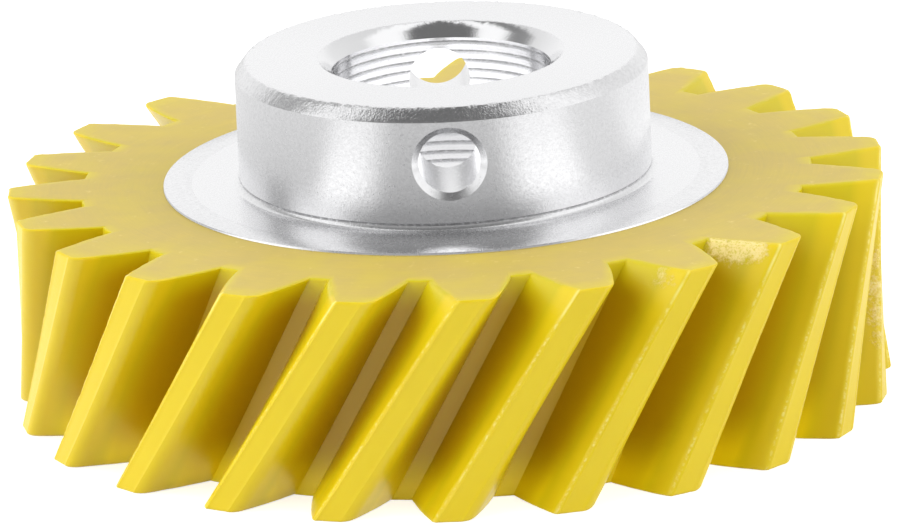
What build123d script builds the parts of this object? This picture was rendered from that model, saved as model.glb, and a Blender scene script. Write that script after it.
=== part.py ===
from build123d import *
import os
from math import cos, pi, sin

os.makedirs("parts", exist_ok=True)

# Mixer gear: a plastic rim with helical teeth, moulded round the flange of a turned aluminium hub.
# Millimetres. The bore runs along +Z, the origin is the centre of the bore at the flat underside, and the
# cross hole for the retaining pin runs along Y. Diameters are worked out from the bore outwards.

# Hub
BORE_DIAMETER = 15.0
BOSS_WALL = 6.6             # bore to the outside of the boss
FLANGE_LIP = 5.2            # outside of the boss to the edge of the flange
FLANGE_STEP = 0.2           # upper face of the flange above the upper face of the rim
BOSS_FILLET = 0.35          # where the boss meets the flange
BOSS_CHAMFER_WIDTH = 0.7
BOSS_CHAMFER_DEPTH = 0.9
MOUTH_CHAMFER_WIDTH = 0.9
MOUTH_CHAMFER_DEPTH = 1.0
LOWER_CHAMFER = 0.5         # edge of the bore on the underside

# Cross hole for the retaining pin, through both walls of the boss
PIN_HOLE_DIAMETER = 4.2
PIN_HOLE_CHAMFER = 0.45
WALL_BELOW_PIN_HOLE = 2.5   # flange to the hole
WALL_ABOVE_PIN_HOLE = 1.75  # hole to the top of the boss

# Toothed rim
RIM_WIDTH = 15.3            # underside to upper face
RIM_WALL = 5.7              # flange to the floor between two teeth
TOOTH_COUNT = 23
TOOTH_DEPTH = 5.0
TOOTH_HOLLOW = 0.5          # dip of the tips and of the floors at half the width of the rim
TIP_LAND = 2.5              # flat top of a tooth, across it on the end face
TOOTH_THICKNESS = 4.3       # tooth at half its depth, on the end face
ROOT_LAND = 1.3             # flat floor between two teeth, across it on the end face
LEAD = 275.5                # height in which a right-hand tooth would turn once round the gear
TOOTH_PHASE = 1.92          # degrees from the front pin hole to the nearest tooth, on the upper face

# The cutters run this far past the faces that they cut
OVERCUT = 1.0
FLANK_OVERRUN = 1.2         # side of a gap's cutter, as a multiple of the flank that it leaves
GAP_SECTION_COUNT = 5       # from which a gap's cutter is lofted

# Radii
bore_radius = BORE_DIAMETER / 2
boss_radius = bore_radius + BOSS_WALL
flange_radius = boss_radius + FLANGE_LIP
root_radius = flange_radius + RIM_WALL
tip_radius = root_radius + TOOTH_DEPTH
middle_radius = (root_radius + tip_radius) / 2

# Heights above the underside
flange_top = RIM_WIDTH + FLANGE_STEP
pin_hole_height = flange_top + WALL_BELOW_PIN_HOLE + PIN_HOLE_DIAMETER / 2
boss_top = flange_top + WALL_BELOW_PIN_HOLE + PIN_HOLE_DIAMETER + WALL_ABOVE_PIN_HOLE


# Hub: one turned piece, cross-drilled

with BuildPart() as hub:
    # Half section, turned about the axis of the bore
    with BuildSketch(Plane.XZ) as half_section:
        with BuildLine():
            Polyline(
                (bore_radius + LOWER_CHAMFER, 0),
                (flange_radius, 0),
                (flange_radius, flange_top),
                (boss_radius, flange_top),
                (boss_radius, boss_top - BOSS_CHAMFER_DEPTH),
                (boss_radius - BOSS_CHAMFER_WIDTH, boss_top),
                (bore_radius + MOUTH_CHAMFER_WIDTH, boss_top),
                (bore_radius, boss_top - MOUTH_CHAMFER_DEPTH),
                (bore_radius, LOWER_CHAMFER),
                close=True,
            )
        make_face()
        inner_corner = half_section.vertices().sort_by_distance((boss_radius, flange_top))[0]
        fillet(inner_corner, radius=BOSS_FILLET)
    revolve(axis=Axis.Z)
    # Cross hole, with its two outer edges chamfered
    with BuildSketch(Plane.XZ):
        with Locations((0, pin_hole_height)):
            Circle(PIN_HOLE_DIAMETER / 2)
    extrude(amount=boss_radius + OVERCUT, both=True, mode=Mode.SUBTRACT)
    curved_edges = hub.edges(Select.LAST).filter_by(GeomType.BSPLINE).group_by(Axis.Y)
    chamfer([curved_edges[0], curved_edges[-1]], length=PIN_HOLE_CHAMFER)
hub.part.label = "hub"
export_step(hub.part, "parts/hub.step")


# Gap between two teeth: sections from below the underside to above the upper face, each turned on from the last

# Half angles of the gap at the floor, at half depth and at the tips, in radians
half_pitch = pi / TOOTH_COUNT
floor_angle = ROOT_LAND / 2 / root_radius
middle_angle = half_pitch - TOOTH_THICKNESS / 2 / middle_radius
tip_angle = half_pitch - TIP_LAND / 2 / tip_radius

# On the upper face a gap lies half a pitch on from the tooth beside the front pin hole
gap_angle_above = -90 + TOOTH_PHASE + 180 / TOOTH_COUNT


def polar(radius, angle):
    """Point at a radius and an angle from +X."""
    return (radius * cos(angle), radius * sin(angle))


def dip(height):
    """How far the teeth are sunk at a height: an arc over the width of the rim."""
    return TOOTH_HOLLOW * (1 - (2 * height / RIM_WIDTH - 1) ** 2)


with BuildPart() as tooth_gap:
    for n in range(GAP_SECTION_COUNT):
        height = -OVERCUT + (RIM_WIDTH + 2 * OVERCUT) * n / (GAP_SECTION_COUNT - 1)
        turn = gap_angle_above + 360 * (height - RIM_WIDTH) / LEAD
        with BuildSketch(Plane((0, 0, height)).rotated((0, 0, turn))):
            with BuildLine():
                sides = []
                for side in (1, -1):
                    flank = ThreePointArc(
                        polar(root_radius - dip(height), side * floor_angle),
                        polar(middle_radius - dip(height), side * middle_angle),
                        polar(tip_radius - dip(height), side * tip_angle),
                        mode=Mode.PRIVATE,
                    )
                    # The same arc, run on past the tip circle so that the cutter comes out clear of it
                    sides.append(ThreePointArc(flank @ 0, flank @ 0.5, flank @ FLANK_OVERRUN))
                ThreePointArc(sides[0] @ 0, polar(root_radius - dip(height), 0), sides[1] @ 0)
                Line(sides[0] @ 1, sides[1] @ 1)
            make_face()
    loft()


# Toothed rim: a plain ring with a slightly hollow outside, and its gaps cut

with BuildPart() as toothed_rim:
    with BuildSketch(Plane.XZ):
        with BuildLine():
            lower_edge, upper_edge = (tip_radius, 0), (tip_radius, RIM_WIDTH)
            ThreePointArc(lower_edge, (tip_radius - TOOTH_HOLLOW, RIM_WIDTH / 2), upper_edge)
            Polyline(upper_edge, (flange_radius, RIM_WIDTH), (flange_radius, 0), lower_edge)
        make_face()
    revolve(axis=Axis.Z)
    with PolarLocations(0, TOOTH_COUNT):
        add(tooth_gap.part, mode=Mode.SUBTRACT)
toothed_rim.part.label = "toothed_rim"
export_step(toothed_rim.part, "parts/toothed_rim.step")
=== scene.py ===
"""Looks of the mixer gear: a turned aluminium hub and a hobbed plastic rim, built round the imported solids."""

import math

import bpy
import numpy as np
from bpy.props import FloatProperty, FloatVectorProperty, IntProperty, PointerProperty
from mathutils import Matrix, Vector


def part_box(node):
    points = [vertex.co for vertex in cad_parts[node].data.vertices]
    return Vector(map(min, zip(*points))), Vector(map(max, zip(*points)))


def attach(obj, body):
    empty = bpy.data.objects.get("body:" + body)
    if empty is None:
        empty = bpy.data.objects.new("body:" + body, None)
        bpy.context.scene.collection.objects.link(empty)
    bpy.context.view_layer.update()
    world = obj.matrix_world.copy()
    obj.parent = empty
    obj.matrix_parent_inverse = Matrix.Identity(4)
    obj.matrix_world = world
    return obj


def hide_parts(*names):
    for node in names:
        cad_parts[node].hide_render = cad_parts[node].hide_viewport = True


bl_info = {
    "name": "Mixer gear",
    "version": (1, 0, 0),
    "blender": (4, 5, 0),
    "location": "View3D > Sidebar > Mixer gear",
    "description": "Builds the hub and the toothed rim of a mixer gear, and the studio round them",
    "category": "Object",
}

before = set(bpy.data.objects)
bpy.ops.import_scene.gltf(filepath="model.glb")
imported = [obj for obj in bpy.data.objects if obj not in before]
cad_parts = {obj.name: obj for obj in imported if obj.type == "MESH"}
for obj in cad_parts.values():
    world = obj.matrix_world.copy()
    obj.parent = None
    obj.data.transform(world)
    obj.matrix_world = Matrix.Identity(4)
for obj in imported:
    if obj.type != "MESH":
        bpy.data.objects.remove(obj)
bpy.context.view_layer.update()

MM = 0.001
IMAGE_WIDTH = 900

HUB_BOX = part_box("hub")
RIM_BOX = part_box("toothed_rim")


# Sizes and colours that a user may change

def length(description, millimetres):
    """A length whose default is given in millimetres."""
    return FloatProperty(
        description=description, default=millimetres * MM, min=0.0, precision=5, subtype="DISTANCE",
        unit="LENGTH",
    )


def colour(description, red, green, blue):
    """A linear colour."""
    return FloatVectorProperty(
        description=description, default=(red, green, blue), min=0.0, max=1.0, subtype="COLOR",
    )


def share(description, value):
    """A plain number without a unit."""
    return FloatProperty(description=description, default=value, min=0.0)


def titled(settings):
    """Names each setting after its identifier."""
    for name, setting in settings.__annotations__.items():
        setting.keywords["name"] = name.replace("_", " ").capitalize()
    return settings


@titled
class HubSizes(bpy.types.PropertyGroup):
    """Sizes of the turned hub"""

    bore_radius: length("Radius of the bore for the shaft", 7.5)
    boss_radius: length("Outside radius of the boss", 14.1)
    flange_radius: length("Radius of the flange that the rim is moulded round", 19.3)
    flange_top: length("Upper face of the flange above the underside", 15.5)
    boss_top: length("Upper face of the boss above the underside", HUB_BOX[1].z / MM)
    boss_fillet: length("Radius where the boss meets the flange", 0.35)
    chamfer_width: length("Width of the outer chamfer of the boss", 0.7)
    chamfer_depth: length("Depth of the outer chamfer of the boss", 0.9)
    mouth_width: length("Width of the chamfer of the bore's mouth", 0.9)
    mouth_depth: length("Depth of the chamfer of the bore's mouth", 1.0)
    lower_chamfer: length("Chamfer of the bore on the underside", 0.5)
    pin_radius: length("Radius of the cross hole for the retaining pin", 2.1)
    pin_height: length("Axis of the cross hole above the underside", 20.1)
    pin_chamfer: length("Chamfer of the cross hole on the outside of the boss", 0.45)
    groove_pitch: length("Feed of the boring tool in one turn", 0.65)
    groove_depth: length("Depth of the tool marks in the bore", 0.035)
    edge_break: length("Radius of the broken edges", 0.05)
    edge_burr: length("How far the torn edges of the chamfer stray", 0.035)


@titled
class RimSizes(bpy.types.PropertyGroup):
    """Sizes of the toothed rim"""

    tooth_count: IntProperty(description="Number of teeth", default=23, min=6)
    inner_radius: length("Radius on which the rim sits on the flange", 19.3)
    root_radius: length("Radius of the floor between two teeth", 25.0)
    tip_radius: length("Radius over the teeth", RIM_BOX[1].x / MM)
    width: length("Height of the rim", RIM_BOX[1].z / MM)
    hollow: length("Dip of the tips and of the floors at half the width of the rim", 0.5)
    lead: length("Height in which a tooth would turn once round the gear", 275.5)
    tip_land: length("Top of a tooth with its round edges, across it", 2.6)
    tooth_thickness: length("Tooth at half its depth, across it", 4.3)
    root_land: length("Flat floor between two teeth, across it", 1.3)
    first_tooth: FloatProperty(
        description="Angle of one tooth on the upper face", default=math.radians(-90 + 1.92),
        subtype="ANGLE", unit="ROTATION",
    )
    tip_round: length("Radius of the edges along the tips of the teeth", 0.48)
    edge_break: length("Radius of the edges of the two end faces", 0.18)
    burr: length("How far the burr stands above the tip of a tooth", 0.03)
    wear: length("How far the edges of the teeth are nibbled away", 0.12)
    seed: IntProperty(description="Changes where the edges are nibbled", default=7)


@titled
class GearFinishes(bpy.types.PropertyGroup):
    """Colours and finishes of the gear"""

    aluminium: colour("Colour of the bright metal", 0.94, 0.94, 0.95)
    aluminium_dull: colour("Colour of the metal where it is scraped", 0.62, 0.62, 0.63)
    plastic: colour("Colour of the teeth", 0.80, 0.61, 0.006)
    # Painted shade: this darker colour stands in for the shade deep between the teeth
    plastic_painted_shade: colour("Colour of the plastic deep between the teeth", 0.57, 0.37, 0.0015)
    # The faced colour is paler than the teeth, partly as the faced finish and partly as painted sheen
    plastic_faced_and_sheen: colour("Colour of the plastic on the end faces", 0.61, 0.46, 0.11)
    # The pale colour of the crumbled patches partly paints glare on the teeth; on the end faces it also colours
    # random scuffs
    plastic_crumbled_and_glare: colour("Colour of its crumbled patches", 0.98, 0.81, 0.35)
    # The colour of the torn edges also paints the highlights along them
    plastic_edge_and_highlight: colour("Colour of its torn edges", 0.95, 0.84, 0.24)


@titled
class StudioSettings(bpy.types.PropertyGroup):
    """Camera, lamps and floor"""

    camera_place: FloatVectorProperty(
        description="Where the camera stands", size=3,
        default=(-0.01512, -0.7600, 0.2355), subtype="TRANSLATION", unit="LENGTH",
    )
    camera_aim: FloatVectorProperty(
        description="Direction in which the camera looks", size=3,
        default=(0.01907, 0.95815, -0.28563), subtype="DIRECTION",
    )
    camera_roll: FloatProperty(
        description="Turn of the picture about its middle",
        default=-0.0443, subtype="ANGLE", unit="ROTATION",
    )
    focal_pixels: share("Focal length in pixels of a picture 900 pixels wide", 11588.0)
    floor: colour("Colour of the floor", 0.70, 0.70, 0.70)
    floor_glow: share("White that the floor shows beside its own colour", 0.70)
    bore_glow: share("Brightness of the cards in the bore", 1.5)
    left_panel: share("Brightness of the left light panel", 2.0)
    right_panel: share("Brightness of the right light panel", 1.55)
    room_front: share("Brightness of the room on the camera's side", 0.42)
    room_side: share("Brightness of the room beside the object", 0.75)
    room_back: share("Brightness of the room behind the object", 1.25)
    screens: share("Brightness of the white screens that gloss shows", 1.28)


# Building node trees

class Value:
    """A number in a node tree, on which the usual signs work."""

    def __init__(self, make, socket):
        self.make, self.socket = make, socket

    def __add__(self, other):
        return self.make.maths("ADD", self, other)

    def __sub__(self, other):
        return self.make.maths("SUBTRACT", self, other)

    def __rsub__(self, other):
        return self.make.maths("SUBTRACT", other, self)

    def __mul__(self, other):
        return self.make.maths("MULTIPLY", self, other)

    def __truediv__(self, other):
        return self.make.maths("DIVIDE", self, other)

    def __rtruediv__(self, other):
        return self.make.maths("DIVIDE", other, self)


class NodeMaker:
    """Adds nodes to a tree and joins them up."""

    def __init__(self, tree):
        self.tree = tree

    def fill(self, socket, value):
        """Joins a socket to an output, or sets it to a plain value."""
        if isinstance(value, Value):
            value = value.socket
        if isinstance(value, bpy.types.NodeSocket):
            self.tree.links.new(value, socket)
        else:
            socket.default_value = value

    def node(self, kind, inputs=None, **settings):
        """Adds one node. Its inputs are given by name or by number."""
        made = self.tree.nodes.new(kind)
        for name, value in settings.items():
            setattr(made, name, value)
        for key, value in (inputs or {}).items():
            self.fill(made.inputs[key], value)
        return made

    def number(self, kind, inputs=None, output=0, **settings):
        """Adds one node, and gives one of its outputs as a value."""
        return Value(self, self.node(kind, inputs, **settings).outputs[output])

    def maths(self, operation, *values):
        return self.number("ShaderNodeMath", dict(enumerate(values)), operation=operation)

    def radius(self, x, y):
        return self.maths("SQRT", x * x + y * y)

    def spread(self, value, low, high, out_low=0.0, out_high=1.0, smooth=False):
        """Maps low to high onto out_low to out_high, and stays between them."""
        kind = "SMOOTHSTEP" if smooth else "LINEAR"
        inputs = {"Value": value, "From Min": low, "From Max": high, "To Min": out_low, "To Max": out_high}
        return self.number("ShaderNodeMapRange", inputs, interpolation_type=kind, clamp=True)

    def split(self, vector):
        return [Value(self, part) for part in self.node("ShaderNodeSeparateXYZ", {0: vector}).outputs]

    def point(self, x, y, z):
        return self.node("ShaderNodeCombineXYZ", {0: x, 1: y, 2: z}).outputs[0]

    def object_place(self):
        """Place on the object, its three parts, its distance from the axis and its angle round it."""
        place = self.node("ShaderNodeTexCoord").outputs["Object"]
        x, y, z = self.split(place)
        return place, (x, y, z), self.radius(x, y), self.maths("ARCTAN2", y, x)

    def attribute(self, name):
        return self.number("ShaderNodeAttribute", output="Fac", attribute_name=name)

    def noise(self, place, grain, detail=2.0, roughness=0.5, shift=0.0):
        """Noise whose blotches are about as large as grain, in metres or in the units of place."""
        inputs = {"Vector": place, "W": shift, "Scale": 1 / grain, "Detail": detail, "Roughness": roughness}
        return self.number("ShaderNodeTexNoise", inputs, noise_dimensions="4D")

    def ramp(self, value, stops):
        """Grey value along a line of (place, grey) stops, with places from 0 to 1."""
        node = self.node("ShaderNodeValToRGB", {0: value})
        line = node.color_ramp.elements
        while len(line) < len(stops):
            line.new(0.5)
        for stop, (place, grey) in zip(line, stops):
            stop.position = place
            stop.color = (grey, grey, grey, 1.0)
        return Value(self, node.outputs[0])

    def mix(self, share_of_second, first, second):
        inputs = {0: share_of_second, 6: first, 7: second}
        return self.node("ShaderNodeMix", inputs, data_type="RGBA").outputs[2]

    def bump(self, height, amplitude, normal=None):
        inputs = {"Height": height, "Distance": amplitude, "Strength": 1.0}
        if normal is not None:
            inputs["Normal"] = normal
        return self.node("ShaderNodeBump", inputs).outputs[0]

    def principled(self, inputs):
        return self.node("ShaderNodeBsdfPrincipled", inputs).outputs[0]

    def store(self, geometry, name, value, kind="FLOAT", domain="POINT"):
        """Keeps a value on a geometry under a name."""
        inputs = {"Geometry": geometry, "Name": name, "Value": value}
        stored = self.node("GeometryNodeStoreNamedAttribute", inputs, data_type=kind, domain=domain)
        return stored.outputs[0]


def new_material(name):
    """An empty node material, the maker of its nodes and its surface socket."""
    material = bpy.data.materials.new(name)
    material.use_nodes = True
    material.node_tree.nodes.clear()
    make = NodeMaker(material.node_tree)
    surface = make.node("ShaderNodeOutputMaterial").inputs["Surface"]
    return material, make, surface


def opaque(colour_value, factors=(1.0, 1.0, 1.0)):
    """A colour as a node takes it, with its red, green and blue times the factors."""
    return (*(part * factor for part, factor in zip(colour_value, factors)), 1.0)


# Finishes of the metal

# Finish of each zone of the hub. Tool marks are (size, height), and lengths are in millimetres
METAL_FINISHES = {
    "faced": {"rings": (0.18, 0.005), "grain": 0.0004, "roughness": 0.27, "stretch": 0.3, "mottle": 0.1},
    "turned": {
        "sides": (0.12, 0.002), "grain": 0.013, "grain_size": 0.12, "roughness": 0.22, "stretch": 0.7,
        "mottle": 0.4, "dull": 0.25,
    },
    "chamfer": {"grain": 0.030, "roughness": 0.09, "mottle": 0.7, "dull": 0.3},
    "bore": {"sides": (0.2, 0.004), "grain": 0.002, "roughness": 0.18, "stretch": 0.3, "mottle": 0.2},
    "drilled": {"grain": 0.003, "roughness": 0.24, "mottle": 0.2},
    # In the grooves the dull colour covers nearly all the metal, so the tool marks are darker
    "groove": {"grain": 0.004, "roughness": 0.45, "dull": 2.5},
    "mouth": {"grain": 0.005, "grain_size": 0.12, "roughness": 0.10, "mottle": 0.3},
}
HUB_ZONES = tuple(METAL_FINISHES)
MARKS_ROUND = 1.5           # tool marks in a radian round the axis
SIDE_SHIFT = 5.0            # keeps the marks of a side unlike those of a face
BLOTCH_SIZE = 2.0           # of the dull and rough blotches, as a multiple of the grain


def metal_finish(look, zone, grain, roughness, rings=None, sides=None, grain_size=0.15, stretch=0.0,
                 mottle=0.0, dull=0.0):
    """Bright turned aluminium.

    rings and sides are the tool marks on a face and on a side, and grain is the height of the fine pits.
    stretch is how far the gloss is drawn out across the tool marks, mottle is how much the roughness
    changes in blotches, and dull is the share of scraped metal.
    """
    material, make, surface = new_material("aluminium_" + zone)
    place, (x, y, z), radius, angle = make.object_place()
    normal = None
    for tool_marks, way, shift in ((rings, radius, 0.0), (sides, z, SIDE_SHIFT)):
        if tool_marks:
            # Long along the circle, short across it
            size, height = tool_marks
            along = make.point(way / (size * MM), angle * MARKS_ROUND, shift)
            marks = make.noise(along, 1.0, detail=4.0, roughness=0.65)
            normal = make.bump(marks, height * MM, normal)
    pits = make.noise(place, grain_size * MM, detail=3.0, roughness=0.6)
    normal = make.bump(pits, grain * MM, normal)
    blotch = BLOTCH_SIZE * grain_size * MM
    blotches = make.noise(place, blotch, detail=4.0, roughness=0.6)
    rough = make.spread(blotches, 0.3, 0.7, roughness * (1 - mottle), roughness * (1 + mottle))
    scraped = make.spread(make.noise(place, blotch, detail=5.0, roughness=0.75, shift=3.0), 0.42, 0.62)
    tint = make.mix(scraped * dull, opaque(look.aluminium), opaque(look.aluminium_dull))
    inputs = {
        "Base Color": tint, "Metallic": 1.0, "Roughness": rough, "Anisotropic": stretch, "Normal": normal,
    }
    # The tool ran round the axis, so the gloss is drawn out along it on a side, and away from it on a face
    if sides:
        inputs["Tangent"] = make.point(0.0, 0.0, 1.0)
    elif stretch:
        inputs["Tangent"] = make.point(x / radius, y / radius, 0.0)
    make.fill(surface, make.principled(inputs))
    return material


# Finishes of the plastic

# Crumbled patches on the teeth, pale partly as painted glare where the flanks catch the light: place and size
# in millimetres, and how strong they are
CRUMBLED_GLARE_PATCHES = (
    (13.5, -24.8, 14.6, 0.9, 0.40), (14.1, -25.3, 14.5, 0.6, 0.35),
    (17.6, -19.0, 14.9, 1.0, 1.0), (18.9, -19.6, 14.9, 1.3, 1.0), (20.0, -20.1, 14.9, 1.0, 1.0),
    (28.9, -3.0, 8.6, 1.1, 0.5), (28.9, -3.9, 6.9, 1.1, 0.6), (28.9, -4.8, 5.2, 1.2, 0.5),
    (28.9, -5.6, 3.8, 1.0, 0.4),
)
PATCH_REACH = 1.25         # how far a patch fades out, as a multiple of its size
CRUMB_GRAIN = 0.30 * MM     # of the ragged outline of a patch
FLECK_GRAIN = 0.16 * MM     # of the crumbs in it
CRUMB_HEIGHT = 0.08 * MM
TORN_GRAIN = 0.3 * MM       # of the pale torn edges
FEED_GRAIN = 0.22 * MM      # of the feed marks down the teeth
FEED_STRETCH = 0.25         # of the feed marks, across the height
# Shades of the plastic, as factors of its red, green and blue
CLOUDED = (0.97, 0.96, 0.90)
# Painted shade down the flanks of the teeth
PAINTED_FLANK_SHADE = (0.84, 0.90, 0.6)
# Painted light low down near the floor
PAINTED_LIGHT_NEAR_FLOOR = (1.2, 1.25, 1.0)
FRESHLY_CUT = (0.93, 0.99, 6.0)
# The same for the plastic of the end faces
FACED_CLOUDED = (1.12, 1.11, 0.9)


def hobbed_plastic(look):
    """The cut teeth: smooth and semi-gloss, with faint feed marks, pale torn edges that also paint highlights,
    painted shade down the flanks and deep between the teeth, and crumbled patches that also paint glare.
    """
    material, make, surface = new_material("plastic_hobbed")
    place, (x, y, z), radius, _ = make.object_place()
    torn = make.spread(make.noise(place, TORN_GRAIN, detail=4.0, roughness=0.65), 0.46, 0.60)
    come_and_go = make.spread(make.noise(place, 2.5 * MM, shift=5.0), 0.35, 0.6, 0.25, 1.0)
    # Pale edges, partly torn plastic and partly painted highlight; near the upper face a strip of the edge has
    # come away here and there, and its pale colour is also a painted highlight
    high_up = make.spread(z, 13.0 * MM, 13.8 * MM)
    pale_strip_high_up = high_up * make.spread(make.noise(place, 3.0 * MM, shift=8.0), 0.44, 0.50)
    bright = make.maths("MAXIMUM", torn * come_and_go, pale_strip_high_up)
    # Where the edges take the torn-edge colour, which also paints the highlight of the rounded edges
    pale = make.spread(make.attribute("edge_wear_and_highlight"), 0.35, 0.8) * bright
    clouds = make.spread(make.noise(place, 3.0 * MM, detail=3.0), 0.3, 0.7)
    body = make.mix(clouds, opaque(look.plastic), opaque(look.plastic, CLOUDED))
    # Painted shade darkens the plastic down the flanks and deep between the teeth, fading out near the end
    # faces, and painted light brightens it low down near the floor
    down = make.spread(RIM_BOX[1].x - radius, 1.0 * MM, 3.6 * MM, smooth=True)
    from_below = make.spread(z, 0.5 * MM, 4.2 * MM, smooth=True)
    from_above = make.spread(RIM_BOX[1].z - z, 0.2 * MM, 2.4 * MM, smooth=True)
    painted_light_low_down = (1.0 - from_below) * make.spread(down, 0.0, 0.6)
    body = make.mix(make.spread(down, 0.0, 0.3), body, opaque(look.plastic, PAINTED_FLANK_SHADE))
    body = make.mix(painted_light_low_down, body, opaque(look.plastic, PAINTED_LIGHT_NEAR_FLOOR))
    body = make.mix(down * from_below * from_above, body, opaque(look.plastic_painted_shade))
    tint = make.mix(pale, body, opaque(look.plastic_edge_and_highlight))
    drawn_out = make.point(x * FEED_STRETCH, y * FEED_STRETCH, z)
    normal = make.bump(make.noise(drawn_out, FEED_GRAIN, detail=3.0), 0.006 * MM)
    grain = make.noise(place, 0.18 * MM, detail=3.0)
    normal = make.bump(grain, 0.004 * MM, normal)
    # Crumbled patches with ragged outlines, partly painted glare
    near = 0.0
    for *centre, size, strength in CRUMBLED_GLARE_PATCHES:
        spot = [part * MM for part in centre]
        away = make.number("ShaderNodeVectorMath", {0: place, 1: spot}, "Value", operation="DISTANCE")
        here = make.spread(away, 0.0, PATCH_REACH * size * MM, strength, 0.0)
        near = make.maths("MAXIMUM", near, here)
    crumbs = make.noise(place, CRUMB_GRAIN, detail=4.0, roughness=0.7, shift=2.0)
    crumbled_and_glare = make.spread(near + crumbs * 1.6, 0.95, 1.30) * make.spread(near, 0.0, 0.2)
    flecks = make.noise(place, FLECK_GRAIN, detail=3.0, roughness=0.6, shift=6.0)
    crumbled = make.mix(make.spread(flecks, 0.30, 0.52), body, opaque(look.plastic_crumbled_and_glare))
    tint = make.mix(crumbled_and_glare * 0.9, tint, crumbled)
    normal = make.bump(flecks * crumbled_and_glare, CRUMB_HEIGHT, normal)
    rough = make.spread(grain, 0.3, 0.7, 0.30, 0.42) + crumbled_and_glare * 0.2
    make.fill(surface, make.principled({
        "Base Color": tint, "Roughness": rough, "Normal": normal,
        "Subsurface Weight": 0.12, "Subsurface Radius": (1.0, 0.6, 0.15), "Subsurface Scale": 0.6 * MM,
    }))
    return material


def faced_plastic(look):
    """The faced ends of the rim: matt and scratched round the axis, pale partly from the faced finish and
    partly from painted sheen.
    """
    material, make, surface = new_material("plastic_faced_and_sheen")
    place, _, radius, angle = make.object_place()
    around = make.point(radius / (0.16 * MM), angle * 4.0, 0.0)
    rings = make.noise(around, 1.0, detail=4.0, roughness=0.7)
    clouds = make.noise(place, 2.5 * MM, detail=4.0, roughness=0.6)
    clouded = make.spread(rings + clouds, 0.7, 1.3)
    # Paler faced colour, partly painted sheen
    body = make.mix(clouded, opaque(look.plastic_faced_and_sheen), opaque(look.plastic_faced_and_sheen, FACED_CLOUDED))
    # Along the outline and in smears the face keeps the yellow of the teeth, without the painted sheen
    ragged = make.spread(make.noise(place, 1.6 * MM, detail=3.0, shift=1.0), 0.3, 0.7, 0.4, 1.0)
    smears = make.spread(make.noise(place, 4.0 * MM, detail=3.0, shift=7.0), 0.42, 0.70, 0.0, 0.35)
    rim_of_face = make.spread(make.attribute("near_outline"), 0.35, 1.0) * ragged
    body = make.mix(make.maths("MAXIMUM", rim_of_face, smears), body, opaque(look.plastic, FRESHLY_CUT))
    scuffs = make.spread(make.noise(place, 0.9 * MM, detail=5.0, roughness=0.7, shift=4.0), 0.60, 0.72)
    body = make.mix(scuffs * 0.35, body, opaque(look.plastic_crumbled_and_glare))
    # The pale edge colour here too is partly torn plastic and partly painted highlight
    torn = make.spread(make.attribute("edge_wear_and_highlight"), 0.3, 1.0) * 0.6
    tint = make.mix(torn, body, opaque(look.plastic_edge_and_highlight))
    normal = make.bump(rings, 0.008 * MM)
    normal = make.bump(make.noise(place, 0.12 * MM, detail=3.0), 0.006 * MM, normal)
    make.fill(surface, make.principled({"Base Color": tint, "Roughness": 0.5, "Normal": normal}))
    return material


# Toothed rim

# Steps of the mesh across half a tooth, from the middle of its tip to the middle of the floor beside it
COLUMN_STEPS = {"land": 3, "land_edge": 1, "tip_break": 4, "flank_edge": 1, "flank": 11, "floor": 2}
# Steps of the mesh round the section of the rim, from the foot of its inner wall
ROW_STEPS = {
    "bottom": 3, "bottom_edge": 1, "bottom_break": 3, "wall_foot": 1, "wall": 64, "wall_head": 1,
    "top_break": 3, "top_edge": 1, "top": 5, "inner_wall": 8,
}
NARROW_STEP = 0.14 * MM     # of the rows and columns that keep an edge crisp
NARROW_SHARE = 0.02         # the same on the end faces, as a share of their width
# How torn each edge of a tooth is, and how strong the painted highlight along it, from 0 to 1
LEFT_EDGE = 0.8
RIGHT_EDGE = 0.34
LOWER_EDGE = 0.2
UPPER_EDGE = 0.35
# How round each edge along the tip of a tooth is, as a share of the given radius
LEFT_ROUND = 0.6
RIGHT_ROUND = 1.3
QUARTER = math.pi / 2
NIBBLE_GRAIN = 0.45 * MM            # of the nibbled edges
MERGE_DISTANCE = 0.002 * MM         # of the points where two teeth meet
SHARP_CORNER = math.radians(28)     # from which an edge of the rim stays sharp
END_FACING = 0.99                   # from which a face counts as part of an end, where 1 is level
# The sizes that the rule of the rim takes, and which of them are whole numbers
RIM_INPUTS = (
    "tooth_count", "inner_radius", "root_radius", "tip_radius", "width", "hollow", "lead", "tip_land",
    "tooth_thickness", "root_land", "first_tooth", "tip_round", "edge_break", "burr", "wear", "seed",
)
RIM_COUNTS = ("tooth_count", "seed")
RIM_FINISHES = {"hobbed": hobbed_plastic, "faced": faced_plastic}


def parts_of(make, count, steps):
    """For a step count, how far each named part of it has run, from 0 to 1."""
    parts, start = {}, 0
    for name, number in steps.items():
        parts[name] = make.spread(count, float(start), float(start + number))
        start += number
    return parts


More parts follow.
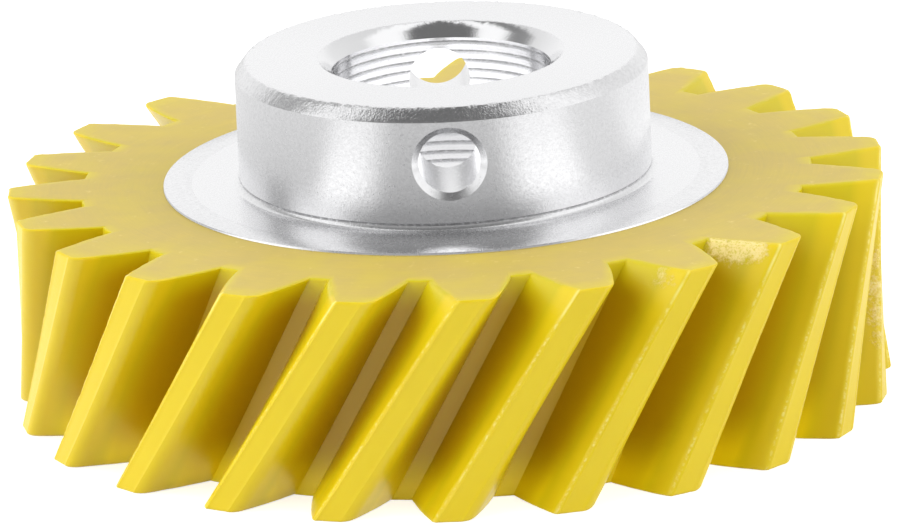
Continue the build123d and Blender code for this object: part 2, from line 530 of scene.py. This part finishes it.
def rim_rule():
    """Node tree that makes the helical rim from its sizes."""
    tree = bpy.data.node_groups.new("helical_rim_rule", "GeometryNodeTree")
    tree.is_modifier = True
    kinds = {name: "NodeSocketInt" if name in RIM_COUNTS else "NodeSocketFloat" for name in RIM_INPUTS}
    kinds.update((name, "NodeSocketMaterial") for name in RIM_FINISHES)
    sockets = {
        name: tree.interface.new_socket(name=name, in_out="INPUT", socket_type=kind)
        for name, kind in kinds.items()
    }
    tree.interface.new_socket(name="Geometry", in_out="OUTPUT", socket_type="NodeSocketGeometry")
    make = NodeMaker(tree)
    outputs = make.node("NodeGroupInput").outputs
    given = {name: Value(make, outputs[name]) for name in kinds}

    half_columns = sum(COLUMN_STEPS.values())
    rows = sum(ROW_STEPS.values())
    grid = make.node("GeometryNodeMeshGrid", {
        "Size X": float(2 * half_columns), "Size Y": float(rows),
        "Vertices X": 2 * half_columns + 1, "Vertices Y": rows + 1,
    })
    across, along, _ = make.split(make.node("GeometryNodeInputPosition").outputs[0])
    across = make.maths("ROUND", across)
    column = make.maths("ABSOLUTE", across)
    side = make.maths("SIGN", across)
    row = make.maths("ROUND", along + rows / 2)
    col = parts_of(make, column, COLUMN_STEPS)
    up = parts_of(make, row, ROW_STEPS)

    # Half angles of the tooth at its tip, at half its depth and at its root
    tip, root = given["tip_radius"], given["root_radius"]
    depth = tip - root
    half_pitch = math.pi / given["tooth_count"]
    tip_half = given["tip_land"] / (tip * 2.0)
    middle_half = given["tooth_thickness"] / (tip + root)
    root_half = half_pitch - given["root_land"] / (root * 2.0)
    edge = given["edge_break"]
    tip_round = given["tip_round"] * make.spread(side, -1.0, 1.0, LEFT_ROUND, RIGHT_ROUND)
    edge_angle = tip_round / tip
    narrow_angle = NARROW_STEP / tip

    # How deep down the tooth a column lies, from 0 at the tip to 1 at the root
    tip_turn = col["tip_break"] * QUARTER
    edge_deep = tip_round / depth
    narrow_deep = NARROW_STEP / depth
    deep = (
        (1.0 - make.maths("COSINE", tip_turn)) * edge_deep + col["flank_edge"] * narrow_deep
        + col["flank"] * (1.0 - (edge_deep + narrow_deep))
    )
    # The side of a tooth: one bow through its three half angles
    tooth_angle = (
        col["land"] * (tip_half - (edge_angle + narrow_angle)) + col["land_edge"] * narrow_angle
        + make.maths("SINE", tip_turn) * edge_angle
        + deep * (1.0 - deep) * 4.0 * (middle_half - tip_half)
        + deep * (deep * 2.0 - 1.0) * (root_half - tip_half)
        + col["floor"] * (half_pitch - root_half)
    )
    burr_share = 1.0 - (col["land_edge"] - col["tip_break"])
    tooth_radius = tip - deep * depth - burr_share * given["burr"] * (1.0 - deep)

    # Rounded edges of the two end faces, in from the face and in from the outline
    low_turn, high_turn = up["bottom_break"] * QUARTER, up["top_break"] * QUARTER
    cut = edge * (1.0 - make.maths("SINE", low_turn)) + edge * (1.0 - make.maths("COSINE", high_turn))
    height = (
        edge * (1.0 - make.maths("COSINE", low_turn)) + (up["wall_foot"] + up["wall_head"]) * NARROW_STEP
        + up["wall"] * (given["width"] - (edge * 2.0 + 2 * NARROW_STEP))
        + edge * make.maths("SINE", high_turn)
    )
    # The teeth are slightly hollow from one end face to the other
    from_middle = height * 2.0 / given["width"] - 1.0
    dip = given["hollow"] * (1.0 - from_middle * from_middle)
    height = height * (1.0 - up["inner_wall"])
    out_share = (
        up["bottom"] * (1 - NARROW_SHARE) + up["bottom_edge"] * NARROW_SHARE
        - (up["top"] * (1 - NARROW_SHARE) + up["top_edge"] * NARROW_SHARE)
    )
    beside = col["tip_break"] * (1.0 - col["floor"])
    outline_angle = tooth_angle - cut / tooth_radius * beside
    inner_angle = column / float(half_columns) * half_pitch
    inner = given["inner_radius"]
    radius = inner + out_share * (tooth_radius - (cut + dip) - inner)
    half_angle = inner_angle + out_share * (outline_angle - inner_angle)

    # The teeth turn with height
    twist = (height - given["width"]) / given["lead"] * (2 * math.pi)
    angle = side * half_angle + given["first_tooth"] + twist
    spot = make.point(radius * make.maths("COSINE", angle), radius * make.maths("SINE", angle), height)

    # Where an edge runs, for the wear and for the finish, whose pale edge colour is partly a painted highlight
    off_middle = make.maths("ABSOLUTE", col["tip_break"] * 2.0 - 1.0)
    tip_line = (1.0 - off_middle) * make.spread(out_share, 0.999, 1.0)
    tip_line = tip_line * make.spread(side, -1.0, 1.0, LEFT_EDGE, RIGHT_EDGE)
    low_line = (up["bottom_edge"] - up["wall_foot"]) * LOWER_EDGE
    high_line = (up["wall_head"] - up["top_edge"]) * UPPER_EDGE
    edge_line = make.maths("MAXIMUM", tip_line, make.maths("MAXIMUM", low_line, high_line))

    marked = make.store(grid.outputs["Mesh"], "edge_wear_and_highlight", edge_line)
    marked = make.store(marked, "near_outline", make.spread(out_share, 0.7, 1.0))
    tooth = make.node("GeometryNodeSetPosition", {"Geometry": marked, "Position": spot}).outputs[0]

    # One tooth after another round the rim
    spots = make.node("GeometryNodePoints", {"Count": given["tooth_count"]})
    index = make.number("GeometryNodeInputIndex")
    turned = make.point(0.0, 0.0, index * (half_pitch * 2.0))
    copies = make.node("GeometryNodeInstanceOnPoints", {
        "Points": spots.outputs[0], "Instance": tooth, "Rotation": turned,
    })
    ring = make.node("GeometryNodeRealizeInstances", {"Geometry": copies.outputs[0]})
    joined = make.node("GeometryNodeMergeByDistance", {
        "Geometry": ring.outputs[0], "Distance": MERGE_DISTANCE,
    })

    # Nibbled edges
    place = make.node("GeometryNodeInputPosition").outputs[0]
    facing = make.node("GeometryNodeInputNormal").outputs[0]
    line = make.number("GeometryNodeInputNamedAttribute", {"Name": "edge_wear_and_highlight"}, data_type="FLOAT")
    nibble = make.noise(place, NIBBLE_GRAIN, detail=3.0, roughness=0.6, shift=given["seed"])
    bite = make.spread(nibble, 0.45, 0.75) * line * given["wear"] * -1.0
    offset = make.node("ShaderNodeVectorMath", {0: facing, 3: bite}, operation="SCALE").outputs[0]
    worn = make.node("GeometryNodeSetPosition", {"Geometry": joined.outputs[0], "Offset": offset})

    # Sharp edges stay sharp, and the end faces wear the faced finish
    corner = make.node("GeometryNodeInputMeshEdgeAngle").outputs["Unsigned Angle"]
    is_sharp = make.node("FunctionNodeCompare", {0: corner, 1: SHARP_CORNER}, operation="GREATER_THAN")
    crisp = make.store(worn.outputs[0], "sharp_edge", is_sharp.outputs[0], "BOOLEAN", "EDGE")
    steepness = make.maths("ABSOLUTE", make.split(facing)[2])
    is_end = make.node("FunctionNodeCompare", {0: steepness, 1: END_FACING}, operation="GREATER_THAN")
    teeth = make.node("GeometryNodeSetMaterial", {"Geometry": crisp, "Material": given["hobbed"]})
    ends = make.node("GeometryNodeSetMaterial", {
        "Geometry": teeth.outputs[0], "Selection": is_end.outputs[0], "Material": given["faced"],
    })
    finished = make.node("NodeGroupOutput")
    make.fill(finished.inputs[0], ends.outputs[0])
    return tree, sockets


def new_object(name, data):
    """A new object in the scene."""
    made = bpy.data.objects.new(name, data)
    bpy.context.scene.collection.objects.link(made)
    return made


def plain_mesh(source, name):
    """The evaluated mesh of an object as a new object at the origin; the source is removed."""
    graph = bpy.context.evaluated_depsgraph_get()
    mesh = bpy.data.meshes.new_from_object(source.evaluated_get(graph), depsgraph=graph)
    mesh.name = name
    made = new_object(name, mesh)
    bpy.data.objects.remove(source)
    return made


class GEAR_OT_toothed_rim(bpy.types.Operator):
    """Builds the toothed rim from its sizes"""

    bl_idname = "mixer_gear.toothed_rim"
    bl_label = "Toothed rim"

    def execute(self, context):
        sizes, look = context.scene.rim_sizes, context.scene.gear_finishes
        tree, sockets = rim_rule()
        holder = new_object("rim_holder", bpy.data.meshes.new("rim_holder"))
        rule = holder.modifiers.new("helical_rim_rule", "NODES")
        rule.node_group = tree
        for name in RIM_INPUTS:
            rule[sockets[name].identifier] = getattr(sizes, name)
        for name, finish in RIM_FINISHES.items():
            rule[sockets[name].identifier] = finish(look)
        context.view_layer.update()
        rim = plain_mesh(holder, "helical_rim")
        if not rim.data.polygons:
            raise RuntimeError("the rim came out empty")
        rim.data.shade_smooth()
        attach(rim, "root")
        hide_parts("toothed_rim")
        return {"FINISHED"}


# Hub

FINE = 512              # steps round the hub where an edge is ragged
COARSE = 256            # steps round the bore
HOLE_STEPS = 96         # round the cross hole
HUB_SEED = 11           # of the torn edges and the tool marks
BURR_WAVES = 150        # up to which a torn edge is ragged round the hub
GROOVE_SWAY = 0.02 * MM
HUB_CORNER = math.radians(24)   # from which a corner of the hub stays sharp
UPRIGHT = 0.01          # how little the normal of a straight wall leans
# A tool mark down the bore: how far along the pitch, how deep, and the finish below
GROOVE_SHAPE = (
    (0.0, 0.0, "bore"), (0.12, 0.0, "groove"), (0.16, 1.0, "groove"), (0.32, 0.0, "bore"),
    (0.65, 0.06, "bore"),
)
# The tool mark at the foot of the boss, in millimetres out from its side and up from the fillet
FOOT_MARK = ((0.0, -0.03, "groove"), (-0.07, 0.05, "groove"), (0.0, 0.15, "turned"))
# Rings of the outer chamfer and of the mouth: how far along it, and how ragged
CHAMFER_RINGS = ((0.05, 0.3), (0.3, 0.0), (0.7, 0.0), (0.93, 0.7))
MOUTH_RINGS = ((0.05, 0.12), (0.5, 0.0), (0.95, 0.0))
# Torn lips of the top face: width, drop and start of the flat face in millimetres, and how ragged
BOSS_LIP = (0.05, 0.005, 0.3, 1.0)
MOUTH_LIP = (0.04, 0.004, 0.2, 0.25)


def wavy(rng, count, waves):
    """Smooth random numbers round a circle, between about -1 and 1, with up to that many waves."""
    angles = np.linspace(0, 2 * np.pi, count, endpoint=False)
    total = np.zeros(count)
    for wave in range(1, waves + 1):
        total += rng.normal() * np.cos(wave * angles + rng.uniform(0, 2 * np.pi))
    return total / math.sqrt(waves)


def arc(centre, radius, start, end, steps):
    """Points of an arc in the section, with angles in degrees."""
    turns = [math.radians(start + (end - start) * n / steps) for n in range(steps + 1)]
    return [(centre[0] + radius * math.cos(turn), centre[1] + radius * math.sin(turn)) for turn in turns]


def hub_section(sizes):
    """Rings of the hub in the order of its section, as (radius, height, zone, ragged, steps round)."""
    rings = []

    def run(points, zone, ragged=0.0, steps=FINE):
        rings.extend((r, z, zone, ragged, steps) for r, z in points)

    bore, boss, flange = sizes.bore_radius, sizes.boss_radius, sizes.flange_radius
    soft = sizes.edge_break
    step_top, top = sizes.flange_top, sizes.boss_top
    run([(bore + sizes.lower_chamfer, 0)], "faced", steps=COARSE)
    run([((bore + flange) / 2, 0), (flange - soft, 0), (flange, soft)], "faced")
    run([(flange, step_top / 2), (flange, step_top - soft)], "turned")
    run(arc((flange - soft, step_top - soft), soft, 0, 90, 2)[1:], "turned")
    foot = sizes.boss_fillet
    run([(flange * 0.6 + (boss + foot) * 0.4, step_top), (boss + foot + soft, step_top)], "faced")
    run(arc((boss + foot, step_top + foot), foot, 270, 190, 5), "turned")
    mark = step_top + foot
    for out, up, zone in FOOT_MARK:
        run([(boss + out * MM, mark + up * MM)], zone)
    shoulder = top - sizes.chamfer_depth
    for height in ((step_top + shoulder) / 2, shoulder - 2 * soft, shoulder - soft / 2):
        run([(boss, height)], "turned")
    # The chamfer is scraped, and both its edges are torn
    slope_r, slope_z = sizes.chamfer_width, sizes.chamfer_depth
    for share_up, ragged in CHAMFER_RINGS:
        run([(boss - slope_r * share_up, shoulder + slope_z * share_up)], "chamfer", ragged)
    outer, mouth = boss - slope_r, bore + sizes.mouth_width
    wide, low, flat, ragged = BOSS_LIP
    run([(outer - wide * MM, top - low * MM)], "faced", ragged)
    run([(outer - flat * MM, top), ((boss + mouth) / 2, top)], "faced")
    wide, low, flat, ragged = MOUTH_LIP
    run([(mouth + flat * MM, top)], "faced")
    run([(mouth + wide * MM, top - low * MM)], "faced", ragged)
    for share_down, ragged in MOUTH_RINGS:
        run([(mouth - sizes.mouth_width * share_down, top - sizes.mouth_depth * share_down)], "mouth", ragged)
    run([(bore, top - sizes.mouth_depth)], "bore", steps=COARSE)
    return rings


def hub_rings(sizes):
    """Every ring of the hub as an array of points, with the zone of the strip that follows it."""
    rng = np.random.default_rng(HUB_SEED)
    made = []

    def add_ring(angles, out, height, zone):
        made.append((np.stack([out * np.cos(angles), out * np.sin(angles), height], 1), zone))

    for r, z, zone, ragged, steps in hub_section(sizes):
        angles = np.linspace(0, 2 * np.pi, steps, endpoint=False)
        # An edge is torn in and down, and hardly stands out
        stray = ragged * sizes.edge_burr * np.clip(wavy(rng, steps, BURR_WAVES), -2, 0.2)
        drop = ragged * sizes.edge_burr * np.clip(wavy(rng, steps, BURR_WAVES), -1.5, 0)
        add_ring(angles, r + stray, z + drop, zone)
    # Tool marks down the bore
    bore_top = sizes.boss_top - sizes.mouth_depth
    count = int((bore_top - sizes.lower_chamfer) / sizes.groove_pitch - 0.5)
    angles = np.linspace(0, 2 * np.pi, COARSE, endpoint=False)
    for groove in range(count):
        bold = sizes.groove_depth * rng.uniform(0.5, 1.15) * (1 + 0.35 * wavy(rng, COARSE, 9))
        sway = GROOVE_SWAY * wavy(rng, COARSE, 5)
        for place, deep, zone in GROOVE_SHAPE:
            z = bore_top - (groove + place + 0.2) * sizes.groove_pitch + sway
            add_ring(angles, sizes.bore_radius + np.clip(bold, 0, None) * deep, z, zone)
    add_ring(angles, sizes.bore_radius, np.full(COARSE, sizes.lower_chamfer), "chamfer")
    return made


def strip(first, second, first_count, second_count):
    """Faces between two rings, whose counts are the same or one twice the other."""
    faces = []
    small = min(first_count, second_count)
    for n in range(small):
        after = (n + 1) % small
        if first_count == second_count:
            faces.append((first + n, first + after, second + after, second + n))
            continue
        middle = 2 * n + 1
        far = (2 * n + 2) % (2 * small)
        if first_count < second_count:
            faces.append((first + n, second + middle, second + 2 * n))
            faces.append((first + n, first + after, second + middle))
            faces.append((first + after, second + far, second + middle))
        else:
            faces.append((first + 2 * n, first + middle, second + n))
            faces.append((first + middle, second + after, second + n))
            faces.append((first + middle, first + far, second + after))
    return faces


def turned_hub(sizes, materials):
    """The hub before it is cross-drilled."""
    rings = hub_rings(sizes)
    starts = np.cumsum([0] + [len(points) for points, _ in rings]).tolist()
    faces, zones = [], []
    for n, (points, zone) in enumerate(rings):
        after = (n + 1) % len(rings)
        made = strip(starts[n], starts[after], len(points), len(rings[after][0]))
        faces.extend(made)
        zones.extend([HUB_ZONES.index(zone)] * len(made))
    points = np.concatenate([points for points, _ in rings])
    return solid_from("turned_blank", points, faces, zones, materials)


def solid_from(name, points, faces, zones, materials):
    """An object from points and faces, with the number of each face's material."""
    mesh = bpy.data.meshes.new(name)
    mesh.from_pydata([tuple(p) for p in points], [], faces)
    for material in materials:
        mesh.materials.append(material)
    mesh.polygons.foreach_set("material_index", zones)
    return new_object(name, mesh)


def cross_cutter(sizes, materials):
    """The drill and its countersinks: a rod that widens at each end, along the curved side of the boss."""
    turn = np.linspace(2 * np.pi, 0, HOLE_STEPS, endpoint=False)

    def on_boss(radius, depth):
        x = radius * np.cos(turn)
        return np.stack([x, depth - np.sqrt(sizes.boss_radius ** 2 - x ** 2),
                         sizes.pin_height + radius * np.sin(turn)], 1)

    lip = on_boss(sizes.pin_radius + sizes.pin_chamfer, 0.0)
    neck = on_boss(sizes.pin_radius, sizes.pin_chamfer)
    outside = lip + 2.0 * (lip - neck)
    flip = np.array([1.0, -1.0, 1.0])
    rings = [outside, neck, neck * flip, outside * flip]
    middle_front = [0.0, outside[:, 1].min(), sizes.pin_height]
    middle_back = [0.0, -outside[:, 1].min(), sizes.pin_height]
    points = np.concatenate([*rings, [middle_front], [middle_back]])
    faces = []
    for n in range(3):
        faces.extend(strip(n * HOLE_STEPS, (n + 1) * HOLE_STEPS, HOLE_STEPS, HOLE_STEPS))
    front, back = 4 * HOLE_STEPS, 4 * HOLE_STEPS + 1
    for n in range(HOLE_STEPS):
        after = (n + 1) % HOLE_STEPS
        faces.append((front, after, n))
        faces.append((back, 3 * HOLE_STEPS + n, 3 * HOLE_STEPS + after))
    zones = [HUB_ZONES.index("drilled")] * len(faces)
    return solid_from("cross_cutter", points, faces, zones, materials)


def smooth_sides(mesh, sizes):
    """Gives the round side of the boss and the wall of the cross hole their true normals."""
    turned, hole = HUB_ZONES.index("turned"), HUB_ZONES.index("drilled")
    places = np.zeros(len(mesh.vertices) * 3)
    mesh.vertices.foreach_get("co", places)
    places = places.reshape(-1, 3)
    normals = np.zeros((len(mesh.loops), 3))
    corner_vertices = np.zeros(len(mesh.loops), int)
    mesh.loops.foreach_get("vertex_index", corner_vertices)
    for face in mesh.polygons:
        corners = slice(face.loop_start, face.loop_start + face.loop_total)
        spots = places[corner_vertices[corners]]
        if face.material_index == turned and abs(face.normal.z) < UPRIGHT:
            out = spots * (1.0, 1.0, 0.0)
        elif face.material_index == hole and abs(face.normal.y) < UPRIGHT:
            out = (spots - (0.0, 0.0, sizes.pin_height)) * (-1.0, 0.0, -1.0)
        else:
            continue
        normals[corners] = out / np.linalg.norm(out, axis=1, keepdims=True)
    mesh.normals_split_custom_set([tuple(n) for n in normals])


class GEAR_OT_hub(bpy.types.Operator):
    """Builds the turned and cross-drilled hub from its sizes"""

    bl_idname = "mixer_gear.hub"
    bl_label = "Hub"

    def execute(self, context):
        sizes, look = context.scene.hub_sizes, context.scene.gear_finishes
        materials = [metal_finish(look, zone, **values) for zone, values in METAL_FINISHES.items()]
        blank = turned_hub(sizes, materials)
        cutter = cross_cutter(sizes, materials)
        drill = blank.modifiers.new("cross_hole", "BOOLEAN")
        drill.operation = "DIFFERENCE"
        drill.solver = "EXACT"
        drill.object = cutter
        context.view_layer.update()
        hub = plain_mesh(blank, "turned_hub")
        bpy.data.objects.remove(cutter)
        if not hub.data.polygons:
            raise RuntimeError("the hub came out empty")
        hub.data.shade_smooth()
        hub.data.set_sharp_from_angle(angle=HUB_CORNER)
        smooth_sides(hub.data, sizes)
        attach(hub, "root")
        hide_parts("hub")
        return {"FINISHED"}


# Studio

FLOOR_HALF = 3.0
PANEL_PLACE = (1.0, -0.55, 1.0)     # middle of the right-hand light panel
PANEL_SIZE = (2.4, 2.0)             # its length and height
CARD_LIFT = 0.05 * MM               # of the reflector above the rim
CARD_STEPS = 128
BORE_CARDS = (("upper_bore_card", 16.5 * MM, 1.0), ("lower_bore_card", 11.0 * MM, 0.65))
# What gloss shows round the gear: white screens, and a dark opening round the camera. Each entry is an
# angle from the camera's side, positive to the right, and a brightness
ROOM_SCREENS = (
    (-180, 0.95), (-160, 0.92), (-124, 0.80), (-117, 0.42), (-101, 0.42), (-94, 1.0), (-64, 1.0), (-56, 0.34),
    (48, 0.34), (58, 1.0), (94, 1.0), (104, 0.82), (140, 0.82), (152, 0.92), (180, 0.95),
)
# The same on the card, which the boss stands on
CARD_SCREENS = (
    (-180, 0.80), (-110, 0.60), (-72, 0.50), (-57, 0.50), (-50, 1.0), (-36, 1.0), (-25, 0.36), (20, 0.36),
    (32, 1.0), (52, 1.0), (60, 0.62), (84, 0.62), (95, 0.80), (180, 0.85),
)
NEAR_CONTRAST = 1.1         # of the card close to the flange
FAR_CONTRAST = 0.3          # of the card further out
FAR_OUT = 2.3               # where that is, as a multiple of the flange's radius
FAR_SHARE = 0.72            # how bright the card is there
HIGH_CONTRAST = 1.7         # of the screens overhead


def floor_material(studio):
    """Pale floor that keeps the object's shadow, and is white to the camera and in gloss."""
    material, make, surface = new_material("studio_floor")
    ray = make.node("ShaderNodeLightPath").outputs
    seen = make.maths("MAXIMUM", ray["Is Glossy Ray"], ray["Is Transmission Ray"])
    seen = make.maths("MAXIMUM", seen, ray["Is Camera Ray"]) * studio.floor_glow
    matt = make.node("ShaderNodeBsdfDiffuse", {"Color": opaque(studio.floor)}).outputs[0]
    white = make.node("ShaderNodeEmission", {"Strength": seen}).outputs[0]
    make.fill(surface, make.node("ShaderNodeAddShader", {0: matt, 1: white}).outputs[0])
    return material


def screens_seen(make, studio, screens, sideways, back, contrast):
    """Brightness of what gloss shows in a direction."""
    angle = make.maths("ARCTAN2", sideways, back * -1.0)
    stops = [(place / 360 + 0.5, grey) for place, grey in screens]
    grey = make.ramp(angle / (2 * math.pi) + 0.5, stops)
    return make.maths("POWER", grey, contrast) * studio.screens


def card_material(name, shine_of):
    """A card that shines upwards only, with a brightness worked out from its own coordinates."""
    material, make, surface = new_material(name)
    x, y, _ = make.split(make.node("ShaderNodeTexCoord").outputs["Object"])
    shine = make.node("ShaderNodeEmission", {"Strength": shine_of(make, x, y)}).outputs[0]
    clear = make.node("ShaderNodeBsdfTransparent").outputs[0]
    below = make.node("ShaderNodeNewGeometry").outputs["Backfacing"]
    make.fill(surface, make.node("ShaderNodeMixShader", {0: below, 1: shine, 2: clear}).outputs[0])
    return material


def add_card(name, inner, outer, level, material):
    """A flat ring that only reflections see."""
    turn = np.linspace(0, 2 * np.pi, CARD_STEPS, endpoint=False)
    flat = np.full(CARD_STEPS, level)
    rings = [np.stack([r * np.cos(turn), r * np.sin(turn), flat], 1) for r in (inner, outer)]
    faces = [face[::-1] for face in strip(0, CARD_STEPS, CARD_STEPS, CARD_STEPS)]
    card = solid_from(name, np.concatenate(rings), faces, [0] * CARD_STEPS, [material])
    card.visible_camera = False
    card.visible_diffuse = False
    card.visible_shadow = False
    card.visible_transmission = False


def add_reflectors(studio):
    """Cards that keep the yellow of the rim out of the bright metal, and light the bore."""
    flange = HUB_BOX[1].x

    def round_the_boss(make, x, y):
        away = make.radius(x, y)
        contrast = make.spread(away, flange, FAR_OUT * flange, NEAR_CONTRAST, FAR_CONTRAST)
        level = make.spread(away, flange, FAR_OUT * flange, 1.0, FAR_SHARE)
        return screens_seen(make, studio, CARD_SCREENS, x, y, contrast) * level

    card = card_material("reflector", round_the_boss)
    add_card("reflector_card", flange, FLOOR_HALF, RIM_BOX[1].z + CARD_LIFT, card)
    for name, level, share_of_glow in BORE_CARDS:
        card = card_material(name, lambda make, x, y: studio.bore_glow * share_of_glow)
        add_card(name, 0.1 * MM, 0.5 * flange, level, card)


def studio_world(studio):
    """The room: dark on the camera's side, grey beside the object and pale behind it."""
    world = bpy.data.worlds.new("studio")
    world.use_nodes = True
    world.node_tree.nodes.clear()
    make = NodeMaker(world.node_tree)
    sideways, back, upward = make.split(make.node("ShaderNodeTexCoord").outputs["Generated"])
    room = make.spread(back, 0.0, 0.2, studio.room_front, studio.room_side, smooth=True)
    rest = studio.room_back - studio.room_side
    room = room + make.spread(back, 0.6, 0.85, 0.0, rest, smooth=True)
    ray = make.node("ShaderNodeLightPath").outputs
    contrast = make.spread(upward, 0.25, 0.8, 1.0, HIGH_CONTRAST)
    gloss = ray["Is Glossy Ray"]
    shown = screens_seen(make, studio, ROOM_SCREENS, sideways, back, contrast) * gloss
    white = make.maths("MAXIMUM", ray["Is Camera Ray"], ray["Is Transmission Ray"])
    lit = room * (1.0 - make.maths("MAXIMUM", white, gloss))
    glow = make.node("ShaderNodeBackground", {"Strength": lit + shown + white})
    make.fill(make.node("ShaderNodeOutputWorld").inputs["Surface"], glow.outputs[0])
    return world


def add_camera(studio):
    aim = Vector(studio.camera_aim).normalized()
    level = aim.cross(Vector((0, 0, 1))).normalized()
    upward = level.cross(aim)
    cos, sin = math.cos(studio.camera_roll), math.sin(studio.camera_roll)
    right = cos * level + sin * upward
    over = cos * upward - sin * level
    data = bpy.data.cameras.new("photo_camera")
    data.sensor_width = 36.0
    data.lens = studio.focal_pixels / IMAGE_WIDTH * data.sensor_width
    data.clip_start, data.clip_end = 0.01, 20.0
    camera = new_object("photo_camera", data)
    turned = Matrix((right, over, -aim)).transposed().to_4x4()
    camera.matrix_world = Matrix.Translation(studio.camera_place) @ turned
    bpy.context.scene.camera = camera


def add_panel(name, side, strength):
    """A large light panel beside the object, on the right for side 1 and on the left for side -1."""
    data = bpy.data.lights.new(name, "AREA")
    data.shape = "RECTANGLE"
    data.size, data.size_y = PANEL_SIZE
    data.energy = strength * math.pi * PANEL_SIZE[0] * PANEL_SIZE[1]
    panel = new_object(name, data)
    panel.location = (side * PANEL_PLACE[0], PANEL_PLACE[1], PANEL_PLACE[2])
    panel.rotation_euler = (math.radians(90), 0, side * math.radians(90))
    panel.visible_camera = False
    panel.visible_glossy = False


class GEAR_OT_studio(bpy.types.Operator):
    """Sets up the floor, the lamps and the camera"""

    bl_idname = "mixer_gear.studio"
    bl_label = "Studio"

    def execute(self, context):
        studio = context.scene.studio_settings
        corners = [(x * FLOOR_HALF, y * FLOOR_HALF, 0) for x, y in ((-1, -1), (1, -1), (1, 1), (-1, 1))]
        floor = solid_from("studio_floor", corners, [(0, 1, 2, 3)], [0], [floor_material(studio)])
        context.scene.world = studio_world(studio)
        add_panel("right_panel", 1, studio.right_panel)
        add_panel("left_panel", -1, studio.left_panel)
        add_reflectors(studio)
        add_camera(studio)
        context.scene.view_settings.view_transform = "Standard"
        return {"FINISHED"}


# Panel and registration

class GEAR_PT_panel(bpy.types.Panel):
    """Lists the steps that build the gear"""

    bl_idname = "GEAR_PT_panel"
    bl_label = "Mixer gear"
    bl_space_type = "VIEW_3D"
    bl_region_type = "UI"
    bl_category = "Mixer gear"

    def draw(self, context):
        for operator in OPERATORS:
            self.layout.operator(operator.bl_idname)


OPERATORS = (GEAR_OT_toothed_rim, GEAR_OT_hub, GEAR_OT_studio)
SETTINGS = {
    "hub_sizes": HubSizes, "rim_sizes": RimSizes, "gear_finishes": GearFinishes,
    "studio_settings": StudioSettings,
}


def register():
    for kind in (*SETTINGS.values(), *OPERATORS, GEAR_PT_panel):
        bpy.utils.register_class(kind)
    for name, kind in SETTINGS.items():
        setattr(bpy.types.Scene, name, PointerProperty(type=kind))


def unregister():
    for name in SETTINGS:
        delattr(bpy.types.Scene, name)
    for kind in reversed((*SETTINGS.values(), *OPERATORS, GEAR_PT_panel)):
        bpy.utils.unregister_class(kind)


def main():
    register()
    bpy.ops.mixer_gear.toothed_rim()
    bpy.ops.mixer_gear.hub()
    bpy.ops.mixer_gear.studio()


if __name__ == "__main__":
    main()
